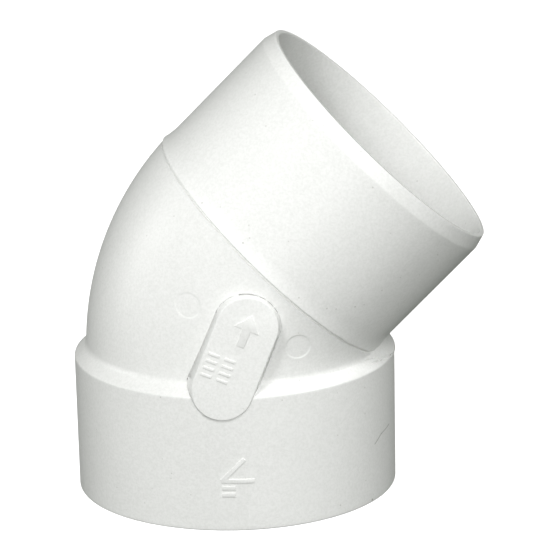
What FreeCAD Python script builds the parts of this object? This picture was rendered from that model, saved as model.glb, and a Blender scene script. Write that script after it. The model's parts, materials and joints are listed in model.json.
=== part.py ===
import FreeCAD, Part
import math
import os

# A plain 45 degree socket-and-spigot bend for 110 mm plastic pipe, moulded in one shot.
# The origin is the centre of the socket mouth, +Z runs up the socket axis, and the spigot
# leans towards +X.  All sizes are in millimetres and degrees.  Each moulded feature is a
# solid of its own, and neighbouring features meet face to face.

# Pipe size and the walls around it
pipe_d = 110.0
socket_clearance = 0.2
socket_wall = 4.4
socket_draft_rise = 0.3
spigot_wall = 3.2
bend_skin = 0.5

# Socket end
socket_depth = 48.0
stop_thickness = 2.9
shoulder_h = 4.2
shoulder_root = 1.2
shoulder_edge_r = 0.7
mouth_edge_r = 0.6

# Bend and spigot end
bend_angle = 45.0
neck_h = 4.15
crotch_r = 4.5
shoulder_setback = 3.85
groove_w = 0.8
groove_depth = 0.3
spigot_length = 58.2
bead_h = 0.5
bead_w = 1.5
spigot_root_len = 6.0
spigot_root_flare = 0.25
spigot_lead_len = 5.3
spigot_lead_depth = 1.45

# Flat marking pad on the front, an obround plate that leans with the bend
pad_length = 47.5
pad_width = 22.4
pad_centre_above_stop = 17.7
pad_proud_of_socket = 0.7
pad_proud_of_bend = 2.8
pad_side_draft = 14.0
pad_edge_r = 0.5

# Raised marks
relief = 0.4
arrow_length = 12.5
arrow_head_w = 9.5
arrow_head_len = 6.0
arrow_shaft_w = 3.0
arrow_centre_up = 11.3
tick_w = 4.2
tick_t = 1.1
tick_pitch = 2.7
ticks_per_row = 4
tick_row_gap = 2.0
tick_centre_up = -5.2
tick_centre_side = -4.6
angle_mark_leg = 12.0
angle_mark_stroke = 1.6
angle_mark_h = 23.5
dash_len = 5.0
dash_pitch = 2.6

# Ejector pin marks, shallow discs on either side of a line just outside the bend centre line
pin_d = 9.0
pin_spread = 21.4
pin_shift = 1.4
pin_recess = 0.25
pin_disc_t = 1.5

# Working sizes of the cutting shapes
cutter_reach = 4.0
cutter_overshoot = 1.0
edge_match = 1e-4

# Sizes that follow from the ones above
pipe_r = pipe_d / 2
socket_bore_r = pipe_r + socket_clearance
socket_mouth_r = socket_bore_r + socket_wall
socket_top_r = socket_mouth_r + socket_draft_rise
flow_r = pipe_r - spigot_wall
bend_r = pipe_r + bend_skin
bend_centre_r = bend_r + crotch_r
shoulder_z = socket_depth + stop_thickness
shoulder_top_z = shoulder_z + shoulder_h
shoulder_slope = shoulder_h / (socket_top_r - bend_r)
shoulder_root_z = shoulder_top_z + shoulder_root * shoulder_slope
arc_start_z = socket_depth + neck_h
tangent_length = bend_centre_r * math.tan(math.radians(bend_angle / 2))
crossing_z = arc_start_z + tangent_length
spigot_base_s = tangent_length - shoulder_setback
spigot_mouth_s = spigot_base_s + spigot_length
far = cutter_reach * (pipe_d + socket_depth + spigot_length)

UP = FreeCAD.Vector(0, 0, 1)
TO_BACK = FreeCAD.Vector(0, 1, 0)
SPIGOT_FRAME = FreeCAD.Placement(
    FreeCAD.Vector(0, 0, crossing_z), FreeCAD.Rotation(TO_BACK, bend_angle))


def revolved(points, placement=None):
    """Solid of revolution about +Z from a closed outline of (radius, height) points."""
    corners = [FreeCAD.Vector(radius, 0, height) for radius, height in points]
    outline = Part.makePolygon(corners + [corners[0]])
    solid = Part.Face(outline).revolve(FreeCAD.Vector(0, 0, 0), UP, 360)
    if placement:
        solid.Placement = placement
    return solid


def with_round_edges(solid, radius_of_edge, height_of_edge, fillet_r):
    """Round the full-circle edge of the given radius and height about +Z."""
    edges = [e for e in solid.Edges
             if hasattr(e.Curve, "Radius")
             and math.isclose(e.Curve.Radius, radius_of_edge, abs_tol=edge_match)
             and math.isclose(e.Curve.Center.z, height_of_edge, abs_tol=edge_match)]
    return solid.makeFillet(fillet_r, edges)


def socket_outside():
    """Solid outside shape of the socket.  Its conical shoulder runs on into the bend."""
    solid = revolved([
        (0, 0),
        (socket_mouth_r, 0),
        (socket_top_r, shoulder_z),
        (bend_r - shoulder_root, shoulder_root_z),
        (0, shoulder_root_z)])
    solid = with_round_edges(solid, socket_mouth_r, 0, mouth_edge_r)
    return with_round_edges(solid, socket_top_r, shoulder_z, shoulder_edge_r)


def bent_rod(radius):
    """Rod that follows the bend: up from the socket stop, then round the arc."""
    neck = Part.makeCylinder(radius, neck_h, FreeCAD.Vector(0, 0, socket_depth), UP)
    section = Part.Face(Part.Wire(Part.makeCircle(
        radius, FreeCAD.Vector(0, 0, arc_start_z), UP)))
    arc_axis_point = FreeCAD.Vector(bend_centre_r, 0, arc_start_z)
    arc = section.revolve(arc_axis_point, TO_BACK, bend_angle)
    return neck.fuse(arc)


def beyond_spigot_base():
    """Everything on the mouth side of the plane where the spigot starts."""
    block = Part.makeBox(far, far, far, FreeCAD.Vector(-far / 2, -far / 2, spigot_base_s))
    block.Placement = SPIGOT_FRAME
    return block


def bend_outside():
    """Solid outside shape of the bend, with a shallow groove where the spigot starts."""
    rod = bent_rod(bend_r).cut(beyond_spigot_base())
    groove = revolved([
        (bend_r, spigot_base_s - groove_w),
        (bend_r + cutter_overshoot, spigot_base_s - groove_w),
        (bend_r + cutter_overshoot, spigot_base_s + cutter_overshoot),
        (bend_r - groove_depth, spigot_base_s + cutter_overshoot),
        (bend_r - groove_depth, spigot_base_s)], SPIGOT_FRAME)
    return rod.cut(groove).removeSplitter()


def spigot_outside():
    """Solid outside shape of the spigot: bead, flared root, straight wall and tapered lead."""
    return revolved([
        (0, spigot_base_s),
        (bend_r + bead_h, spigot_base_s),
        (pipe_r + spigot_root_flare, spigot_base_s + bead_w),
        (pipe_r, spigot_base_s + spigot_root_len),
        (pipe_r, spigot_mouth_s - spigot_lead_len),
        (pipe_r - spigot_lead_depth, spigot_mouth_s),
        (0, spigot_mouth_s)], SPIGOT_FRAME)


def flow_space():
    """The hollow inside: socket bore, bend bore and spigot bore, open at both ends."""
    socket_bore = revolved([
        (0, -cutter_overshoot),
        (socket_bore_r, -cutter_overshoot),
        (socket_bore_r, socket_depth),
        (0, socket_depth)])
    spigot_bore = revolved([
        (0, tangent_length),
        (flow_r, tangent_length),
        (flow_r, spigot_mouth_s + cutter_overshoot),
        (0, spigot_mouth_s + cutter_overshoot)], SPIGOT_FRAME)
    return socket_bore.fuse(bent_rod(flow_r)).fuse(spigot_bore).removeSplitter()


def pad_placement():
    """Frame on the pad face: x across, y up the pad, z straight out of the face."""
    lean = bend_angle / 2
    centre_z = socket_depth + pad_centre_above_stop
    half_rise = pad_length / 2 * math.cos(math.radians(lean))
    low_y = -(socket_top_r + pad_proud_of_socket)
    high_y = -(bend_r + pad_proud_of_bend)
    tip_back = math.degrees(math.atan2(high_y - low_y, 2 * half_rise))
    upright = FreeCAD.Rotation(FreeCAD.Vector(1, 0, 0), 90 - tip_back)
    leaning = FreeCAD.Rotation(FreeCAD.Vector(0, 0, 1), -lean)
    return FreeCAD.Placement(
        FreeCAD.Vector(0, (low_y + high_y) / 2, centre_z), upright.multiply(leaning))


def obround(length, width, height):
    """Wire round a long slot shape, at the given height over the pad face."""
    end_r = width / 2
    reach = length / 2 - end_r
    right_low = FreeCAD.Vector(end_r, -reach, height)
    right_high = FreeCAD.Vector(end_r, reach, height)
    left_high = FreeCAD.Vector(-end_r, reach, height)
    left_low = FreeCAD.Vector(-end_r, -reach, height)
    top = FreeCAD.Vector(0, length / 2, height)
    bottom = FreeCAD.Vector(0, -length / 2, height)
    return Part.Wire([
        Part.makeLine(right_low, right_high),
        Part.Arc(right_high, top, left_high).toShape(),
        Part.makeLine(left_high, left_low),
        Part.Arc(left_low, bottom, right_low).toShape()])


def pad_plate(body_outside):
    """Marking pad: an obround plate with drafted sides, standing on the body."""
    root_depth = socket_top_r - flow_r
    spread = 2 * root_depth * math.tan(math.radians(pad_side_draft))
    plate = Part.makeLoft([
        obround(pad_length, pad_width, 0),
        obround(pad_length + spread, pad_width + spread, -root_depth)], True, True)
    face_edges = [e for e in plate.Edges if e.BoundBox.ZMin > -pad_edge_r / 2]
    plate = plate.makeFillet(pad_edge_r, face_edges)
    plate.Placement = pad_placement()
    return plate.cut(body_outside)


def raised(outline_points, height):
    """Flat prism of the given height on the pad face, from (across, up) points."""
    corners = [FreeCAD.Vector(across, up, 0) for across, up in outline_points]
    face = Part.Face(Part.makePolygon(corners + [corners[0]]))
    return face.extrude(FreeCAD.Vector(0, 0, height))


def pad_arrow():
    """Plain raised arrow on the pad that points towards the spigot."""
    tip = arrow_centre_up + arrow_length / 2
    tail = arrow_centre_up - arrow_length / 2
    neck = tip - arrow_head_len
    arrow = raised([
        (0, tip),
        (-arrow_head_w / 2, neck),
        (-arrow_shaft_w / 2, neck),
        (-arrow_shaft_w / 2, tail),
        (arrow_shaft_w / 2, tail),
        (arrow_shaft_w / 2, neck),
        (arrow_head_w / 2, neck)], relief)
    arrow.Placement = pad_placement()
    return arrow


def pad_ticks():
    """Two rows of short raised bars on the pad, one solid for each bar."""
    bars = []
    for row in (-1, 1):
        side = tick_centre_side + row * (tick_w + tick_row_gap) / 2
        for place in range(ticks_per_row):
            up = tick_centre_up + (place - (ticks_per_row - 1) / 2) * tick_pitch
            bar = raised([
                (side - tick_w / 2, up - tick_t / 2),
                (side + tick_w / 2, up - tick_t / 2),
                (side + tick_w / 2, up + tick_t / 2),
                (side - tick_w / 2, up + tick_t / 2)], relief)
            bar.Placement = pad_placement()
            bars.append(bar)
    return Part.makeCompound(bars)


def socket_mark():
    """Raised angle sign and two dashes on the front of the socket wall."""
    def stroke(length, turn, start_x, start_z):
        bar = Part.makeBox(length, far, angle_mark_stroke,
                           FreeCAD.Vector(0, -far, -angle_mark_stroke / 2))
        bar.Placement = FreeCAD.Placement(
            FreeCAD.Vector(start_x, 0, start_z), FreeCAD.Rotation(TO_BACK, -turn))
        return bar

    left = -angle_mark_leg / 2
    foot_z = angle_mark_h - angle_mark_leg * math.sin(math.radians(bend_angle)) / 2
    strokes = [stroke(angle_mark_leg, 0, left, foot_z)
               .fuse(stroke(angle_mark_leg, bend_angle, left, foot_z))
               .removeSplitter()]
    for row in (1, 2):
        strokes.append(stroke(dash_len, 0, left, foot_z - row * dash_pitch))
    skin = revolved([
        (socket_mouth_r, 0),
        (socket_mouth_r + relief, 0),
        (socket_top_r + relief, shoulder_z),
        (socket_top_r, shoulder_z)])
    return Part.makeCompound([s.common(skin) for s in strokes])


def pin_columns():
    """Two round columns along Y through the front wall, where the ejector pins end."""
    middle = math.radians(bend_angle / 2)
    columns = []
    for side in (-1, 1):
        reach = bend_centre_r + pin_shift + side * pin_spread
        x = bend_centre_r - reach * math.cos(middle)
        z = arc_start_z + reach * math.sin(middle)
        columns.append(Part.makeCylinder(
            pin_d / 2, far, FreeCAD.Vector(x, 0, z), FreeCAD.Vector(0, -1, 0)))
    return columns


def build():
    """All nodes by name, each a solid or a group of separate solids."""
    socket = socket_outside()
    bend = bend_outside().cut(socket)
    spigot = spigot_outside().cut(socket)
    body = socket.fuse(bend).fuse(spigot)
    hollow = flow_space()
    columns = pin_columns()
    pin_floor = bent_rod(bend_r - pin_recess - pin_disc_t)
    pin_face = bent_rod(bend_r - pin_recess)

    below_stop = Part.makeBox(
        far, far, far, FreeCAD.Vector(-far / 2, -far / 2, socket_depth - far))
    pockets = [column.cut(pin_floor) for column in columns]
    discs = [pocket.common(pin_face) for pocket in pockets]
    bend_wall = bend.cut(hollow)
    for pocket in pockets:
        bend_wall = bend_wall.cut(pocket)

    return {
        "socket_collar": socket.common(below_stop).cut(hollow),
        "pipe_stop_shoulder": socket.cut(below_stop).cut(hollow),
        "bend_body": bend_wall,
        "spigot": spigot.cut(hollow),
        "marking_pad": pad_plate(body),
        "pad_arrow": pad_arrow(),
        "pad_ticks": pad_ticks(),
        "socket_angle_mark": socket_mark(),
        "ejector_pin_marks": Part.makeCompound(discs),
    }


os.makedirs("parts", exist_ok=True)
for name, shape in build().items():
    solids = shape.Solids
    node = solids[0] if len(solids) == 1 else Part.makeCompound(solids)
    box = node.BoundBox
    print(name, "solids", len(solids), "valid", node.isValid(), "volume", round(node.Volume, 1),
          "z", round(box.ZMin, 2), round(box.ZMax, 2))
    node.exportStep("parts/" + name + ".step")
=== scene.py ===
import json
import math

import bmesh
import bpy
from mathutils import Matrix, Vector


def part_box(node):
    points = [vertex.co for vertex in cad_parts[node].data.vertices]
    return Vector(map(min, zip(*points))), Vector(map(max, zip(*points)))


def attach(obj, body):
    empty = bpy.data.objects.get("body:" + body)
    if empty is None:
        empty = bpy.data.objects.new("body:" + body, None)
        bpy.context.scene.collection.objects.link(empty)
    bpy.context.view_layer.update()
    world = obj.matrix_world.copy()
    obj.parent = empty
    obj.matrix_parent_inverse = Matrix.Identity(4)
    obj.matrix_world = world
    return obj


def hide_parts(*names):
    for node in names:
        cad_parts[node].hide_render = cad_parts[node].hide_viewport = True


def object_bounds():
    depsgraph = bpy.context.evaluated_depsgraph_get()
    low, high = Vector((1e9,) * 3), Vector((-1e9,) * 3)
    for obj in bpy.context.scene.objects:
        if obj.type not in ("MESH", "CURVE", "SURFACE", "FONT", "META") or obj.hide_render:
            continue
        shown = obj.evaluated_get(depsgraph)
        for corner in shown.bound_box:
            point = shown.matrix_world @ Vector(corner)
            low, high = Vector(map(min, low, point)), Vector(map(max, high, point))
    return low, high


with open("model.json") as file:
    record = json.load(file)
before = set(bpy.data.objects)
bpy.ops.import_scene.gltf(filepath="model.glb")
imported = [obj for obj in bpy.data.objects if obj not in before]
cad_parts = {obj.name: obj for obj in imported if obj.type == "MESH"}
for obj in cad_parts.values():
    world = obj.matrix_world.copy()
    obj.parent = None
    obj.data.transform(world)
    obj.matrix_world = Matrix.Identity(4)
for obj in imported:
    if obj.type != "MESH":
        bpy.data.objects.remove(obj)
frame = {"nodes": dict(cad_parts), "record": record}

cad_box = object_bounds()

# ---------------------------------------------------------------- Socket wall
# The plain socket that the pipe's end is glued into: a slightly drafted tube of white uPVC, the
# thickest wall of the moulding, which stands on its mouth.  A steel core leaves its bore smooth.
MM = 0.001
mounts = {mount["name"]: mount for mount in frame["record"]["mounts"]}
socket_bore_r = mounts["socket_bore"]["dims"]["r_mm"] * MM
socket_wall_t = 4.4 * MM
socket_draft = 0.3 * MM
socket_mouth_r = socket_bore_r + socket_wall_t
socket_top_r = socket_mouth_r + socket_draft
shoulder_z = 50.9 * MM
pipe_stop_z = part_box("socket_collar")[1].z
wall_top_r = socket_mouth_r + socket_draft * pipe_stop_z / shoulder_z
mouth_round = 0.55 * MM
edge_guard = 1.6 * MM
wall_sides = 256
weld = 0.01 * MM


def begin_ring(name, radius, height):
    """A new piece in edit mode: one ring of edges about +Z, selected, to draw a wall from."""
    bpy.ops.object.select_all(action="DESELECT")
    bpy.ops.mesh.primitive_circle_add(vertices=wall_sides, radius=radius, location=(0, 0, height))
    bpy.ops.object.transform_apply()
    bpy.context.object.name = name
    bpy.ops.object.mode_set(mode="EDIT")
    bpy.ops.mesh.select_mode(type="EDGE")
    bpy.ops.mesh.select_all(action="SELECT")
    return bpy.context.object


def draw_to(*stops):
    """Extrude the selected ring of edges through each (radius, height)."""
    for radius, height in stops:
        skin = bmesh.from_edit_mesh(bpy.context.object.data)
        now = next(v.co for v in skin.verts if v.select)
        grow = radius / now.xy.length
        rise = height - now.z
        bpy.ops.mesh.extrude_edges_move(TRANSFORM_OT_translate={"value": (0, 0, rise)})
        bpy.ops.transform.resize(value=(grow, grow, 1), center_override=(0, 0, height))


def close_wall():
    """Weld the last ring to the first, and turn every face outwards."""
    bpy.ops.mesh.select_all(action="SELECT")
    bpy.ops.mesh.remove_doubles(threshold=weld)
    bpy.ops.mesh.normals_make_consistent(inside=False)
    bpy.ops.mesh.select_all(action="DESELECT")


def round_ring(radius, height, width, cuts=4):
    """Round the ring of edges at that radius and height."""
    skin = bmesh.from_edit_mesh(bpy.context.object.data)
    for edge in skin.edges:
        edge.select_set(all(
            abs(v.co.xy.length - radius) < 2 * weld and abs(v.co.z - height) < 2 * weld
            for v in edge.verts))
    bpy.ops.mesh.bevel(offset=width, segments=cuts, affect="EDGES")
    bpy.ops.mesh.select_all(action="DESELECT")


def settle(piece, *nodes, slot="moulding", crease=35):
    """Leave edit mode, smooth the shading, and put the piece in place of its CAD nodes."""
    bpy.ops.object.mode_set(mode="OBJECT")
    bpy.ops.object.select_all(action="DESELECT")
    piece.select_set(True)
    bpy.context.view_layer.objects.active = piece
    bpy.ops.object.shade_smooth_by_angle(angle=math.radians(crease))
    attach(piece, "root")
    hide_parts(*nodes)


socket_wall = begin_ring("socket_wall", socket_mouth_r, 0)
draw_to(
    (socket_mouth_r, edge_guard),
    (wall_top_r, pipe_stop_z - edge_guard),
    (wall_top_r, pipe_stop_z),
    (socket_bore_r, pipe_stop_z),
    (socket_bore_r, edge_guard),
    (socket_bore_r, 0),
    (socket_mouth_r, 0))
close_wall()
round_ring(socket_mouth_r, 0, mouth_round)
round_ring(socket_bore_r, 0, mouth_round)
settle(socket_wall, "socket_collar")


# ------------------------------------------------- Pipe stop and the shoulder
# Inside, a ledge of white uPVC that the pipe's end stops against.  Outside, a short cone that steps
# the socket's wall in to the bend: its lower edge is crisp, and it is moulded with the socket.
flow_r = mounts["spigot_bore"]["dims"]["r_mm"] * MM
pipe_r = mounts["spigot_outside"]["dims"]["r_mm"] * MM
bend_skin = 0.5 * MM
bend_r = pipe_r + bend_skin
shoulder_top_z = 55.1 * MM
neck_h = 4.15 * MM
neck_top_z = pipe_stop_z + neck_h
cone_fall = (socket_top_r - bend_r) / (shoulder_top_z - shoulder_z)
root_h = 1.1 * MM
root_z = shoulder_top_z + root_h
root_r = bend_r - cone_fall * root_h
rebate_w = 1.2 * MM
rebate_r = flow_r + rebate_w
cone_guard = 1.0 * MM
cone_round = 0.4 * MM

shoulder = begin_ring("shoulder", wall_top_r, pipe_stop_z)
draw_to(
    (socket_top_r, shoulder_z - cone_guard),
    (socket_top_r, shoulder_z),
    (socket_top_r - cone_fall * cone_guard, shoulder_z + cone_guard),
    (bend_r, shoulder_top_z),
    (root_r, root_z),
    (rebate_r, root_z),
    (rebate_r, neck_top_z),
    (flow_r, neck_top_z),
    (flow_r, pipe_stop_z),
    (wall_top_r, pipe_stop_z))
close_wall()
round_ring(socket_top_r, shoulder_z, cone_round)

# Under the spigot a low web stands up from the cone.  A groove runs along its lower edge and climbs
# away on each side, to meet the groove beside the spigot.
web_low_z = 49.2 * MM
web_climb = 0.161 * MM
web_half_width = 31
web_fade = 4
web_rise = 0.34 * MM
web_groove = 0.9 * MM
web_edge = 0.3 * MM
web_groove_below = 0.45 * MM
web_cuts = 7
skin_depth = 1 * MM
skin = bmesh.from_edit_mesh(shoulder.data)
for face in skin.faces:
    middle = face.calc_center_median()
    face.select_set(
        middle.xy.length > bend_r - skin_depth and middle.z > pipe_stop_z + 10 * weld
        and abs(math.degrees(math.atan2(middle.y, middle.x))) < web_half_width + web_fade)
bmesh.update_edit_mesh(shoulder.data)
bpy.ops.mesh.select_mode(type="FACE")
bpy.ops.mesh.subdivide(number_cuts=web_cuts)
skin = bmesh.from_edit_mesh(shoulder.data)
skin.normal_update()
pushes = []
for v in skin.verts:
    around = abs(math.degrees(math.atan2(v.co.y, v.co.x)))
    above = v.co.z - web_low_z - web_climb * around
    fade = min(max((web_half_width + web_fade - around) / web_fade, 0), 1)
    raised = min(max(above / web_edge + 1 / 3, 0), 1) * web_rise
    sunk = min(max(1.4 - abs(above + web_groove_below) / web_edge, 0), 1) * web_groove
    if v.select:
        pushes.append((v, v.normal * (raised - sunk) * fade))
for v, push in pushes:
    v.co += push
bpy.ops.mesh.select_mode(type="EDGE")
settle(shoulder, "pipe_stop_shoulder")


# ----------------------------------------------------------- Wall of the bend
# The tight 45 degree sweep between the two ends.  It stops at a shallow groove beside the spigot,
# and two ejector pins have left shallow round dents in its front.
bend_angle = math.radians(45)
spigot_axis = Vector(mounts["spigot_outside"]["axis"])
spigot_point = Vector(mounts["spigot_outside"]["pos_m"])
crossing = spigot_point - spigot_axis * (spigot_point.x / spigot_axis.x)
centre_r = (crossing.z - neck_top_z) / math.tan(bend_angle / 2)
sweep_centre = Vector((centre_r, 0, neck_top_z))
shoulder_setback = 3.85 * MM
spigot_base_s = (crossing.z - neck_top_z) - shoulder_setback
groove_w = 0.8 * MM
groove_depth = 0.8 * MM
groove_start = 1.1
groove_slope = 0.3
pin_r = 4.5 * MM
pin_spread = 21.4 * MM
pin_shift = 1.4 * MM
pin_dent = 0.2 * MM
pin_edge = 0.34 * MM
pin_border = 2.4 * MM
pin_cuts = 3
foot_share = 9 / 45
sweep_steps = 40
cut_snap = 0.001 * MM


def sweep(share):
    """Carry the selected rings round the bend's centre, by that share of the bend's angle."""
    bpy.ops.mesh.spin(
        steps=sweep_steps, angle=-bend_angle * share, center=sweep_centre, axis=(0, 1, 0))


bend_wall = begin_ring("bend_wall", bend_r, neck_top_z)
bpy.ops.mesh.primitive_circle_add(
    vertices=wall_sides, radius=flow_r, location=(0, 0, neck_top_z))
bpy.ops.mesh.select_all(action="SELECT")
bpy.ops.mesh.bridge_edge_loops()
bpy.ops.mesh.select_all(action="DESELECT")
skin = bmesh.from_edit_mesh(bend_wall.data)
for edge in skin.edges:
    edge.select_set(abs(edge.verts[0].co.xy.length - edge.verts[1].co.xy.length) < 0.1 * MM)
sweep(foot_share)
sweep(1 - foot_share)
for back_off in (1.15, 1.0, 0.5):
    bpy.ops.mesh.select_all(action="SELECT")
    bpy.ops.mesh.bisect(
        plane_co=crossing + spigot_axis * (spigot_base_s - back_off * groove_w),
        plane_no=spigot_axis, threshold=cut_snap)
bpy.ops.mesh.select_all(action="SELECT")
bpy.ops.mesh.bisect(
    plane_co=crossing + spigot_axis * spigot_base_s, plane_no=spigot_axis, clear_outer=True,
    threshold=cut_snap)
bpy.ops.mesh.select_all(action="DESELECT")
bpy.ops.mesh.select_non_manifold()
bpy.ops.mesh.bridge_edge_loops()
close_wall()

# The groove: the last of the skin before the spigot is pressed in.
skin = bmesh.from_edit_mesh(bend_wall.data)
for v in skin.verts:
    arm = v.co - crossing
    along = arm.dot(spigot_axis)
    arm -= spigot_axis * along
    short = (spigot_base_s - along) / groove_w
    if arm.length > bend_r - skin_depth and short < groove_start:
        share = min(max((groove_start - short) / groove_slope, 0), 1)
        v.co -= arm.normalized() * groove_depth * share

# The foot: where the skin meets the shoulder's cone it swells into a small fillet, and the skin
# beyond that stays just under the cone.  Each ring of the sweep is swelled about its own centre.
cone_out = Vector((shoulder_top_z - shoulder_z, socket_top_r - bend_r)).normalized()
fillet = 1.1 * MM
tuck = 0.1 * MM
swell_limit = 2.2 * MM
swell_search = 8 * MM
foot_h = 5 * MM
for v in skin.verts:
    turned = math.atan2(v.co.z - sweep_centre.z, sweep_centre.x - v.co.x)
    ring_centre = sweep_centre + Vector(
        (-math.cos(turned), 0, math.sin(turned))) * centre_r
    arm = v.co - ring_centre
    if v.co.z > shoulder_top_z + foot_h or arm.length < bend_r - 0.6 * MM:
        continue
    out = arm.normalized()
    low, high = 0.0, swell_search
    for _ in range(22):
        move = (low + high) / 2
        at = v.co + out * move
        cone = (at.xy.length - bend_r) * cone_out.x + (at.z - shoulder_top_z) * cone_out.y
        near = max(fillet - abs(move - cone), 0) / fillet
        if min(move, cone) - near * near * fillet / 4 < 0:
            low = move
        else:
            high = move
    beyond = min(max((low - cone) / fillet, 0), 1)
    v.co += out * max(min(low, swell_limit) - tuck * beyond, 0)

# Ejector pin dents: a finer patch of skin round each one, pressed in with a soft rim.
half_turn = bend_angle / 2
pin_centres = [
    sweep_centre + Vector((-math.cos(half_turn), 0, math.sin(half_turn)))
    * (centre_r + pin_shift + side * pin_spread) for side in (-1, 1)]
for face in skin.faces:
    middle = face.calc_center_median()
    face.select_set(middle.y < 0 and face.normal.y < -0.3 and any(
        Vector((middle.x - p.x, middle.z - p.z)).length < pin_r + pin_border
        for p in pin_centres))
bmesh.update_edit_mesh(bend_wall.data)
bpy.ops.mesh.select_mode(type="FACE")
bpy.ops.mesh.subdivide(number_cuts=pin_cuts)
skin = bmesh.from_edit_mesh(bend_wall.data)
skin.normal_update()
for v in skin.verts:
    if v.co.y < 0 and v.normal.y < -0.3:
        for p in pin_centres:
            inside = pin_r - Vector((v.co.x - p.x, v.co.z - p.z)).length
            share = min(max(inside / pin_edge + 0.5, 0), 1)
            v.co -= v.normal * pin_dent * share * share * (3 - 2 * share)
bpy.ops.mesh.select_mode(type="EDGE")
settle(bend_wall, "bend_body", "ejector_pin_marks")


# --------------------------------------------------------------- Spigot wall
# The plain end that goes into the next socket: a thin straight tube that starts at a low bead and
# narrows at once.  Its mouth is tapered outside, and leaves a flat rim, sharp to the touch.
spigot_length = 58.2 * MM
spigot_mouth_s = spigot_base_s + spigot_length
lead_len = 5.3 * MM
lead_depth = 1.45 * MM
rim_r = pipe_r - lead_depth
lead_round = 0.45 * MM
rim_round = 0.22 * MM
bead_h = 0.4 * MM
bead_round = 0.2 * MM
bead_r = bend_r + bead_h
root_flare_r = pipe_r + bend_skin


def lean_to_spigot(piece):
    """Move a piece drawn about +Z onto the spigot's axis, with its place in its mesh."""
    piece.matrix_world = Matrix.Translation(crossing) @ Matrix.Rotation(bend_angle, 4, "Y")
    bpy.ops.object.select_all(action="DESELECT")
    piece.select_set(True)
    bpy.context.view_layer.objects.active = piece
    bpy.ops.object.transform_apply()


spigot_wall = begin_ring("spigot_wall", bead_r, spigot_base_s)
draw_to(
    (bead_r - 0.08 * MM, spigot_base_s + 0.5 * MM),
    (root_flare_r, spigot_base_s + 1.8 * MM),
    (pipe_r + 0.2 * MM, spigot_base_s + 4 * MM),
    (pipe_r, spigot_base_s + 6 * MM),
    (pipe_r, spigot_mouth_s - lead_len - edge_guard),
    (pipe_r, spigot_mouth_s - lead_len),
    (rim_r + lead_depth * 0.8, spigot_mouth_s - lead_len * 0.8),
    (rim_r + lead_depth * 0.2, spigot_mouth_s - lead_len * 0.2),
    (rim_r, spigot_mouth_s),
    (flow_r, spigot_mouth_s),
    (flow_r, spigot_mouth_s - edge_guard),
    (flow_r, spigot_base_s),
    (bead_r, spigot_base_s))
close_wall()
round_ring(bead_r, spigot_base_s, bead_round, 3)
round_ring(pipe_r, spigot_mouth_s - lead_len, lead_round)
round_ring(rim_r, spigot_mouth_s, rim_round)
round_ring(flow_r, spigot_mouth_s, rim_round)
bpy.ops.object.mode_set(mode="OBJECT")
lean_to_spigot(spigot_wall)
settle(spigot_wall, "spigot")


# ------------------------------------------------- Marking pad and its marks
# An obround plate moulded on the front, flat so that marks can be cut into the mould there.  Its
# sides are drafted, and the arrow and the bars stand up a few tenths of a millimetre.
def softened_copy(node, name, edge_round, slot):
    """A piece from a CAD node's shape, its triangles merged and its edges rounded."""
    bpy.ops.object.select_all(action="DESELECT")
    piece = frame["nodes"][node].copy()
    piece.data = frame["nodes"][node].data.copy()
    piece.name = name
    piece.data.materials.clear()
    for tag in [key for key in piece.keys() if key.startswith("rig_")]:
        del piece[tag]
    bpy.context.scene.collection.objects.link(piece)
    piece.parent = None
    piece.select_set(True)
    bpy.context.view_layer.objects.active = piece
    bpy.ops.object.mode_set(mode="EDIT")
    bpy.ops.mesh.select_all(action="SELECT")
    bpy.ops.mesh.remove_doubles(threshold=0.004 * MM)
    if edge_round:
        bpy.ops.mesh.dissolve_limited(angle_limit=math.radians(4))
        bpy.ops.object.mode_set(mode="OBJECT")
        rounding = piece.modifiers.new("rounding", "BEVEL")
        rounding.width = edge_round
        rounding.segments = 3
        rounding.limit_method = "ANGLE"
        rounding.angle_limit = math.radians(35)
        bpy.ops.object.modifier_apply(modifier="rounding")
    settle(piece, node, slot=slot, crease=50)
    return piece


label_pad = softened_copy("marking_pad", "label_pad", 0, "moulding")
mark_round = 0.16 * MM
pad_pointer = softened_copy("pad_arrow", "pad_pointer", mark_round, "raised_marks")
pad_bars = softened_copy("pad_ticks", "pad_bars", mark_round, "raised_marks")


# ------------------------------------------------------- Angle sign on socket
# A plain angle sign and two dashes, raised from the socket's front by the mould.
sign_round = 0.15 * MM
angle_sign = softened_copy("socket_angle_mark", "angle_sign", sign_round, "raised_marks")


# ------------------------------------------------------------------- Finish
# White uPVC as it leaves the mould: satin, a faint cool green in its white, slightly mottled, with
# a few dark specks from the hopper, light scuffs from handling, and the mould's parting line.
class Level:
    """A shader socket that holds a number, so that sums on it are written as Python writes them."""

    def __init__(self, finish, socket):
        self.finish = finish
        self.socket = socket

    def math(self, operation, first, second=0.0):
        return self.finish.level(
            "ShaderNodeMath", {"operation": operation}, {0: first, 1: second}, "Value")

    def __add__(self, other):
        return self.math("ADD", self, other)

    def __mul__(self, other):
        return self.math("MULTIPLY", self, other)

    def __sub__(self, other):
        return self.math("SUBTRACT", self, other)

    def __rsub__(self, other):
        return self.math("SUBTRACT", other, self)

    __radd__ = __add__
    __rmul__ = __mul__


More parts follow.
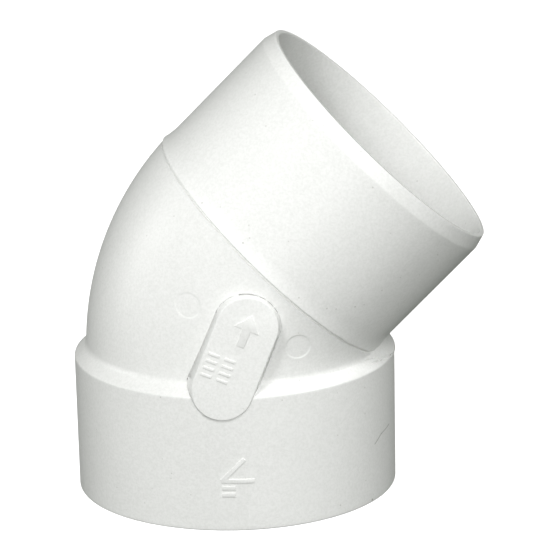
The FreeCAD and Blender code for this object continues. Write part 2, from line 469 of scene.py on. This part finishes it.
class MouldedFinish:
    """A material and its nodes."""

    def __init__(self, name):
        self.material = bpy.data.materials.new(name)
        self.material.use_nodes = True
        self.tree = self.material.node_tree
        self.tree.nodes.clear()

    def node(self, kind, settings, sockets):
        """Add a node: its settings first, then each socket's value or link."""
        made = self.tree.nodes.new(kind)
        for setting, value in settings.items():
            setattr(made, setting, value)
        for key, value in sockets.items():
            if isinstance(value, Level):
                value = value.socket
            if isinstance(value, bpy.types.NodeSocket):
                self.tree.links.new(value, made.inputs[key])
            else:
                made.inputs[key].default_value = value
        return made

    def level(self, kind, settings, sockets, output):
        return Level(self, self.node(kind, settings, sockets).outputs[output])

    def between(self, level, low, high):
        """0 where the level is under low, 1 where it is over high, and smooth between."""
        return self.level(
            "ShaderNodeMapRange", {"interpolation_type": "SMOOTHSTEP"},
            {"Value": level, "From Min": low, "From Max": high}, "Result")

    def noise(self, place, size, detail=3.0, roughness=0.55):
        """Cloudy pattern whose lumps are about that size, in metres."""
        return self.level(
            "ShaderNodeTexNoise", {},
            {"Vector": place, "Scale": 1 / size, "Detail": detail, "Roughness": roughness}, "Fac")

    def near_line(self, place, start, end, width):
        """1 along the straight line between two points, falling to 0 at that width."""
        start, end = Vector(start) * MM, Vector(end) * MM
        along = end - start
        arm = self.node("ShaderNodeVectorMath", {"operation": "SUBTRACT"}, {0: place, 1: start})
        reach = self.level("ShaderNodeVectorMath", {"operation": "DOT_PRODUCT"}, {
            0: arm.outputs["Vector"], 1: along / along.length_squared}, "Value")
        reach = self.level("ShaderNodeClamp", {}, {"Value": reach}, "Result")
        foot = self.node("ShaderNodeVectorMath", {"operation": "SCALE"}, {
            0: along, "Scale": reach})
        gap = self.level("ShaderNodeVectorMath", {"operation": "DISTANCE"}, {
            0: arm.outputs["Vector"], 1: foot.outputs["Vector"]}, "Value")
        return 1 - self.between(gap, 0.35 * width * MM, width * MM)

    def tint(self, share, under, over):
        """Blend from one colour to another."""
        mix = self.node("ShaderNodeMix", {"data_type": "RGBA"}, {0: share, 6: under, 7: over})
        return mix.outputs[2]


def moulded_upvc(name):
    """Satin white uPVC, with its mottle, specks, scuffs and handling marks."""
    finish = MouldedFinish(name)
    place = finish.node("ShaderNodeTexCoord", {}, {}).outputs["Object"]
    axes = finish.node("ShaderNodeSeparateXYZ", {}, {"Vector": place}).outputs
    across = Level(finish, axes["Y"])

    clouds = finish.noise(place, 0.022, detail=3.0)
    mottle = finish.between(finish.noise(place, 0.0021, detail=5.0, roughness=0.75), 0.34, 0.66)
    grain = finish.between(finish.noise(place, 0.0010, detail=3.0, roughness=0.7), 0.33, 0.67)
    scuff_place = finish.node(
        "ShaderNodeMapping", {}, {"Vector": place, "Rotation": (0.4, 0.9, 0.3),
                                  "Scale": (1.0, 1.0, 0.06)}).outputs["Vector"]
    scuffs = finish.between(finish.noise(scuff_place, 0.0016, detail=5.0), 0.66, 0.74)
    worn = finish.between(finish.noise(place, 0.018, detail=3.0), 0.50, 0.66)
    scuffs = scuffs * worn

    cells = finish.node(
        "ShaderNodeTexVoronoi", {"feature": "F1"}, {"Vector": place, "Scale": 1 / 0.0034})
    cell_code = Level(finish, finish.node(
        "ShaderNodeSeparateColor", {}, {"Color": cells.outputs["Color"]}).outputs["Red"])
    speck_size = finish.between(cell_code, 0.45, 1.0) * 0.10
    specks = 1 - finish.between(Level(finish, cells.outputs["Distance"]) - speck_size, -0.03, 0.02)

    seam_gap = finish.level("ShaderNodeMath", {"operation": "ABSOLUTE"}, {0: across}, "Value")
    seam = 1 - finish.between(seam_gap, 0.00006, 0.00022)

    scratch = finish.near_line(place, (51.0, -31.1, 22.2), (53.6, -26.6, 24.6), 0.36)
    scratch = scratch + finish.near_line(place, (53.6, -26.6, 24.6), (56.8, -18.6, 25.6), 0.34)
    dirt = finish.near_line(place, (4.06, -51.81, 107.2), (4.5, -51.8, 106.9), 0.55)
    dirt = dirt + finish.near_line(place, (49.6, -33.2, 1.0), (49.8, -33.0, 1.1), 0.5)
    chip = finish.near_line(place, (58.8, -10.7, 36.7), (58.8, -10.7, 37.6), 0.75)

    white = (0.925, 0.927, 0.915, 1)
    shade = (0.80, 0.805, 0.787, 1)
    dull = (0.77, 0.775, 0.755, 1)
    colour = finish.tint(clouds * 0.3 + mottle * 0.2 + grain * 0.5, shade, white)
    colour = finish.tint(scuffs * 0.5, colour, dull)
    colour = finish.tint(seam * 0.25, colour, dull)
    colour = finish.tint(specks * 0.40, colour, (0.36, 0.35, 0.31, 1))
    colour = finish.tint(dirt * 0.75, colour, (0.25, 0.24, 0.21, 1))
    colour = finish.tint(scratch * 0.6, colour, (0.34, 0.34, 0.31, 1))
    colour = finish.tint(chip, colour, (0.97, 0.97, 0.97, 1))

    relief = mottle * 0.4 + grain * 0.3 + clouds * 1.4 + scuffs * 0.5 + seam * 1.2 - scratch * 1.5
    bump = finish.node(
        "ShaderNodeBump", {}, {"Strength": 0.4, "Distance": 0.00007, "Height": relief})
    shader = finish.node("ShaderNodeBsdfPrincipled", {}, {
        "Base Color": colour,
        "Roughness": 0.36 + mottle * 0.10 + scuffs * 0.22,
        "IOR": 1.52,
        "Normal": bump.outputs["Normal"]})
    finish.node("ShaderNodeOutputMaterial", {}, {"Surface": shader.outputs["BSDF"]})
    return finish.material


upvc = moulded_upvc("white_upvc")
for piece in (socket_wall, shoulder, bend_wall, spigot_wall, label_pad,
              pad_pointer, pad_bars, angle_sign):
    piece.data.materials.clear()
    piece.data.materials.append(upvc)


# ------------------------------------------------------------- Table and lights
# A white table, a soft key light high on the left, a broad fill beside the camera, a small light
# on each side and a dim room.
bpy.ops.object.select_all(action="DESELECT")
bpy.ops.mesh.primitive_plane_add(size=12, location=(0, 0, -0.02 * MM))
table = bpy.context.object
table.name = "table"
table.visible_diffuse = False
table.visible_glossy = False
table_top = MouldedFinish("table_top")
table_white = table_top.node("ShaderNodeBsdfDiffuse", {}, {"Color": (0.9, 0.9, 0.9, 1)})
table_glow = table_top.node("ShaderNodeEmission", {}, {"Color": (1, 1, 1, 1), "Strength": 0.8})
table_both = table_top.node(
    "ShaderNodeAddShader", {}, {0: table_white.outputs[0], 1: table_glow.outputs[0]})
table_top.node("ShaderNodeOutputMaterial", {}, {"Surface": table_both.outputs[0]})
table.data.materials.append(table_top.material)

middle = (cad_box[0] + cad_box[1]) / 2


def soft_light(name, azimuth, elevation, distance, width, watts):
    """A square soft box that looks at the middle of the object."""
    a, e = math.radians(azimuth), math.radians(elevation)
    back = Vector((math.sin(a) * math.cos(e), -math.cos(a) * math.cos(e), math.sin(e)))
    lamp = bpy.data.lights.new(name, "AREA")
    lamp.size = width
    lamp.energy = watts
    light = bpy.data.objects.new(name, lamp)
    bpy.context.scene.collection.objects.link(light)
    light.location = middle + back * distance
    light.rotation_euler = (-back).to_track_quat("-Z", "Y").to_euler()


soft_light("key_light", -27, 45, 1.4, 0.30, 8.5)
soft_light("fill_light", 6, 15, 1.4, 0.9, 11.6)
soft_light("right_light", 80, 45, 1.4, 0.3, 6.5)
soft_light("left_light", -95, 15, 1.4, 0.6, 4.7)

room = bpy.data.worlds.new("room")
room.use_nodes = True
room.node_tree.nodes["Background"].inputs["Color"].default_value = (0.93, 1.0, 0.88, 1)
room.node_tree.nodes["Background"].inputs["Strength"].default_value = 0.125
bpy.context.scene.world = room
bpy.context.scene.view_settings.view_transform = "Standard"

# -------------------------------------------------------------------- Camera
# A long lens a little above the object, level with its front.
az, el, roll = math.radians(-0.67), math.radians(16.94), math.radians(-1.34)
back = Vector((math.sin(az) * math.cos(el), -math.cos(az) * math.cos(el), math.sin(el)))
flat_right = Vector((math.cos(az), math.sin(az), 0))
flat_up = back.cross(flat_right)
right = flat_right * math.cos(roll) + flat_up * math.sin(roll)
up = flat_up * math.cos(roll) - flat_right * math.sin(roll)
looked_at = Vector((17.65, 0, 77.12)) * MM
lens = bpy.data.cameras.new("camera")
lens.lens = 275.66
lens.sensor_width = 36
lens.clip_end = 50
camera = bpy.data.objects.new("camera", lens)
bpy.context.scene.collection.objects.link(camera)
camera.matrix_world = Matrix.Translation(looked_at + back * 1.6) @ Matrix(
    (right, up, back)).transposed().to_4x4()
bpy.context.scene.camera = camera
